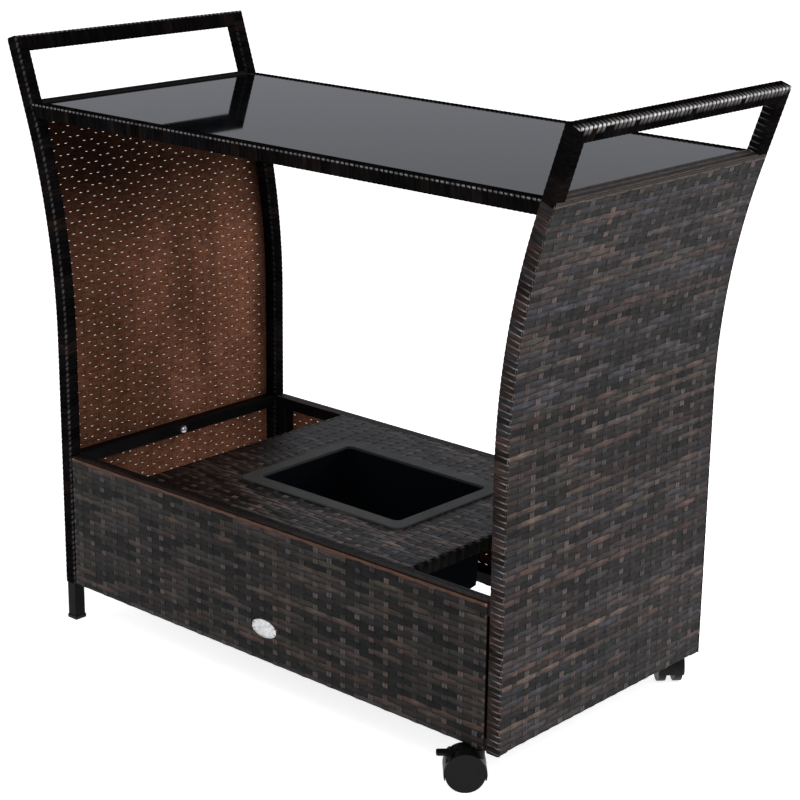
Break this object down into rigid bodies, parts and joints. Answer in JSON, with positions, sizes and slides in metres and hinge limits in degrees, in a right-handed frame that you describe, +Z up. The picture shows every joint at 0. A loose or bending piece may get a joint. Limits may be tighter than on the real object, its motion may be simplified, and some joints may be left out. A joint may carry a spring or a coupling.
{
  "type": "wicker bar cart",
  "caption": "Wicker bar cart with outward-leaning woven ends, tube handles, dark glass top, woven box shelf with lift-out ice bucket, feet at one end and braked twin-wheel casters at the other.",
  "frame": {"origin": "on the floor below the middle of the cart", "axes": "+X along the cart towards the caster end, -Y the front, +Z up"},
  "size_m": [0.9732, 0.489, 0.8296],
  "materials": {
    "black_steel": "satin black powder coat",
    "woven_strip": "woven flat strips, mixed dark browns",
    "wrap_strip": "closely wound flat strip, black-brown",
    "dark_glass": "polished, nearly black",
    "rubber": "matte",
    "black_plastic": "moulded, satin",
    "bucket_plastic": "moulded, satin",
    "bright_steel": "zinc plated"
  },
  "bodies": {
    "cart": {"left_front_leg": "black_steel", "left_rear_leg": "black_steel", "left_handle": "black_steel", "left_top_rail": "black_steel", "left_middle_rail": "black_steel", "left_bottom_rail": "black_steel", "left_glass_support": "black_steel", "left_front_leg_wrap": "wrap_strip", "left_rear_leg_wrap": "wrap_strip", "left_handle_wrap": "wrap_strip", "left_end_weave": "woven_strip", "shelf_left_bar": "black_steel", "right_front_leg": "black_steel", "right_rear_leg": "black_steel", "right_handle": "black_steel", "right_top_rail": "black_steel", "right_middle_rail": "black_steel", "right_bottom_rail": "black_steel", "right_glass_support": "black_steel", "right_front_leg_wrap": "wrap_strip", "right_rear_leg_wrap": "wrap_strip", "right_handle_wrap": "wrap_strip", "right_end_weave": "woven_strip", "shelf_right_bar": "black_steel", "table_front_rail": "black_steel", "front_upper_rail": "black_steel", "front_lower_rail": "black_steel", "shelf_front_bar": "black_steel", "table_front_rail_wrap": "wrap_strip", "front_weave": "woven_strip", "table_back_rail": "black_steel", "back_upper_rail": "black_steel", "back_lower_rail": "black_steel", "shelf_back_bar": "black_steel", "table_back_rail_wrap": "wrap_strip", "back_weave": "woven_strip", "panel_stiles": "black_steel", "shelf_weave": "woven_strip", "glass_top": "dark_glass", "glass_pads": "rubber", "foot_caps": "black_plastic", "leg_plugs": "black_plastic", "cap_nuts": "bright_steel", "caster_inserts": "black_steel", "front_caster_stem": "black_steel", "rear_caster_stem": "black_steel"},
    "ice_bucket": {"ice_bucket": "bucket_plastic"},
    "front_caster": {"front_caster_hood": "black_plastic", "front_caster_axle": "bright_steel", "front_brake_pin": "bright_steel"},
    "front_left_wheel": {"front_caster_left_wheel": "black_plastic"},
    "front_right_wheel": {"front_caster_right_wheel": "black_plastic"},
    "front_brake": {"front_brake_lever": "black_plastic"},
    "rear_caster": {"rear_caster_hood": "black_plastic", "rear_caster_axle": "bright_steel", "rear_brake_pin": "bright_steel"},
    "rear_left_wheel": {"rear_caster_left_wheel": "black_plastic"},
    "rear_right_wheel": {"rear_caster_right_wheel": "black_plastic"},
    "rear_brake": {"rear_brake_lever": "black_plastic"}
  },
  "joints": [
    {"name": "front_caster_swivel", "type": "hinge", "parent": "cart", "child": "front_caster", "pos_m": [0.364, -0.20235, 0.045], "axis": [0, 0, 1], "continuous": true},
    {"name": "front_left_wheel_spin", "type": "hinge", "parent": "front_caster", "child": "front_left_wheel", "pos_m": [0.3523, -0.21326, 0.025], "axis": [0.682, -0.7314, 0], "continuous": true},
    {"name": "front_right_wheel_spin", "type": "hinge", "parent": "front_caster", "child": "front_right_wheel", "pos_m": [0.3523, -0.21326, 0.025], "axis": [0.682, -0.7314, 0], "continuous": true},
    {"name": "front_brake_press", "type": "hinge", "parent": "front_caster", "child": "front_brake", "pos_m": [0.34645, -0.21872, 0.0455], "axis": [0.682, -0.7314, 0], "range_deg": [0, 8]},
    {"name": "rear_caster_swivel", "type": "hinge", "parent": "cart", "child": "rear_caster", "pos_m": [0.364, 0.20235, 0.045], "axis": [0, 0, 1], "continuous": true},
    {"name": "rear_left_wheel_spin", "type": "hinge", "parent": "rear_caster", "child": "rear_left_wheel", "pos_m": [0.3523, 0.21326, 0.025], "axis": [-0.682, -0.7314, 0], "continuous": true},
    {"name": "rear_right_wheel_spin", "type": "hinge", "parent": "rear_caster", "child": "rear_right_wheel", "pos_m": [0.3523, 0.21326, 0.025], "axis": [-0.682, -0.7314, 0], "continuous": true},
    {"name": "rear_brake_press", "type": "hinge", "parent": "rear_caster", "child": "rear_brake", "pos_m": [0.34645, 0.21872, 0.0455], "axis": [-0.682, -0.7314, 0], "range_deg": [0, 8]},
    {"name": "ice_bucket_lift", "type": "slide", "parent": "cart", "child": "ice_bucket", "axis": [0, 0, 1], "range_m": [0, 0.17]}
  ]
}
